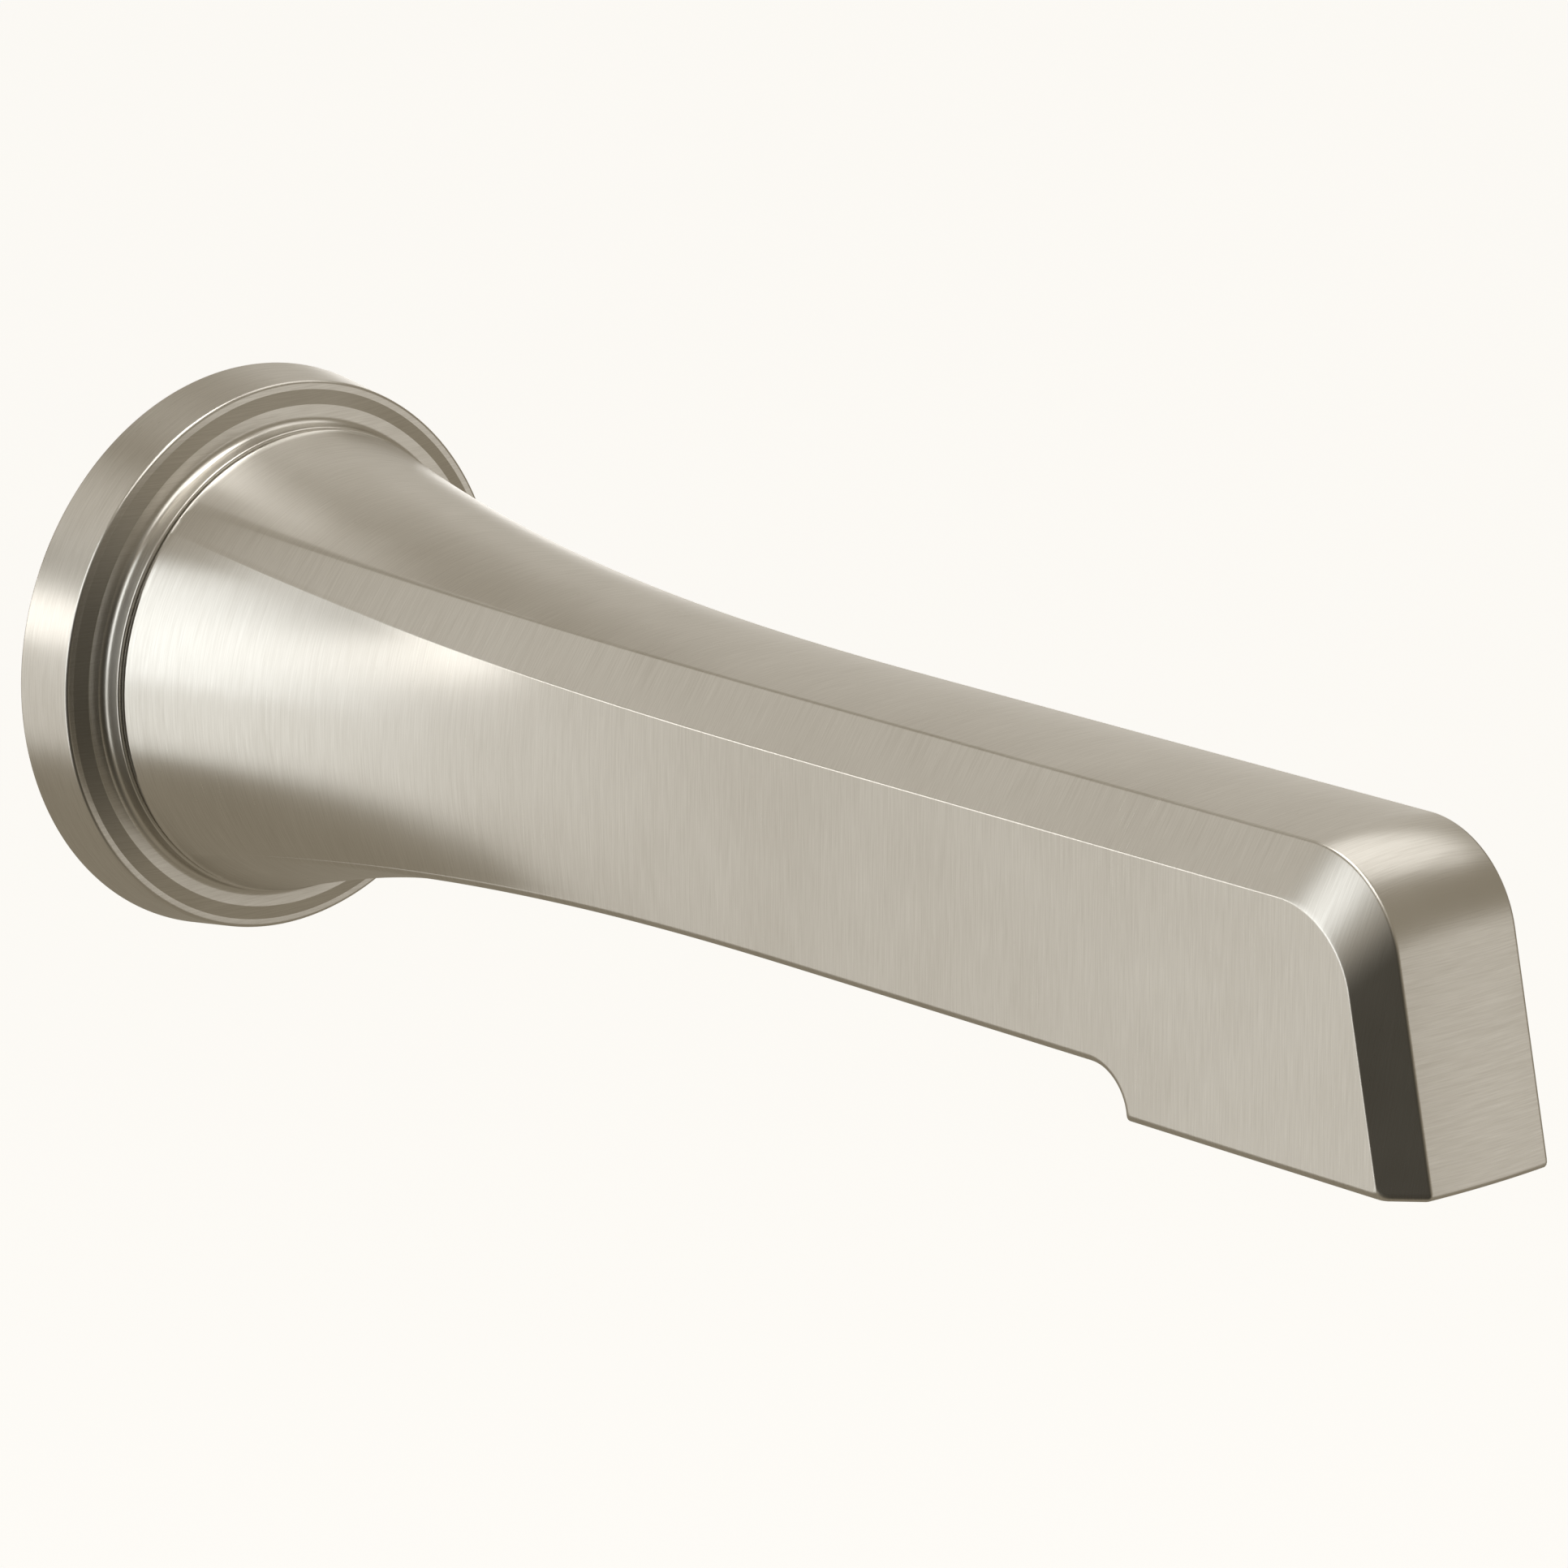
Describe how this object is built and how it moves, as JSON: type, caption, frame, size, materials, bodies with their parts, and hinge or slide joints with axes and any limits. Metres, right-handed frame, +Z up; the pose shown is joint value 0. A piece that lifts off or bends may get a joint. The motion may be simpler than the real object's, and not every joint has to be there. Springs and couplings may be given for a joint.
{
  "type": "wall mounted tub spout",
  "caption": "Wall mounted bath spout: stepped round flange, round base that flares into a straight chamfered bar, bend at the tip, water outlet underneath.",
  "frame": {"origin": "centre of the inlet bore's mouth, on the wall plane, with the wall at y = 0", "axes": "+Y along the pipe axis into the wall, +Z up, +X to the right of a person facing the wall; the spout reaches toward -Y"},
  "size_m": [0.076, 0.2272, 0.076],
  "materials": {
    "brushed_nickel": "brushed nickel on cast metal, satin, brushing across the spout",
    "flange_nickel": "brushed nickel, satin, brushing round the rim",
    "shell_nickel": "satin nickel, turned",
    "machined_brass": "turned brass, lightly dulled",
    "screw_steel": "stainless steel, machined",
    "white_acetal": "moulded acetal, matte",
    "grey_acetal": "moulded acetal, matte",
    "oring_rubber": "black moulded rubber",
    "foam_rubber": "closed cell foam rubber"
  },
  "bodies": {
    "adapter": {"pipe_adapter": "machined_brass", "inlet_washer": "oring_rubber", "adapter_oring_1": "oring_rubber", "adapter_oring_2": "oring_rubber"},
    "flange": {"wall_flange": "flange_nickel", "wall_gasket": "foam_rubber", "flange_oring": "oring_rubber"},
    "spout": {"spout_body": "brushed_nickel", "waterway_tube": "white_acetal", "tube_oring_1": "oring_rubber", "tube_oring_2": "oring_rubber", "outlet_elbow": "grey_acetal", "elbow_screw_1": "screw_steel", "elbow_screw_2": "screw_steel"},
    "set_screw": {"set_screw": "screw_steel"},
    "straightener_core": {"straightener_insert": "white_acetal", "straightener_screen": "screw_steel", "straightener_seal": "oring_rubber"},
    "straightener_housing": {"straightener_shell": "shell_nickel"}
  },
  "joints": [
    {"name": "spout_slide", "type": "slide", "parent": "adapter", "child": "flange", "axis": [0, -1, 0], "range_m": [0, 0.042]},
    {"name": "spout_turn", "type": "hinge", "parent": "flange", "child": "spout", "pos_m": [0, 0, 0], "axis": [0, -1, 0], "continuous": true},
    {"name": "set_screw_travel", "type": "slide", "parent": "spout", "child": "set_screw", "axis": [0, 0, -1], "range_m": [0, 0.006]},
    {"name": "straightener_drop", "type": "slide", "parent": "spout", "child": "straightener_core", "axis": [0, 0, -1], "range_m": [0, 0.005]},
    {"name": "straightener_unscrew", "type": "hinge", "parent": "straightener_core", "child": "straightener_housing", "pos_m": [0, -0.2037, 0], "axis": [0, 0, -1], "range_deg": [0, 1800]}
  ],
  "couplings": [
    {"joint": "straightener_unscrew", "follows": "straightener_drop", "rad_per_m": 6283.2}
  ]
}
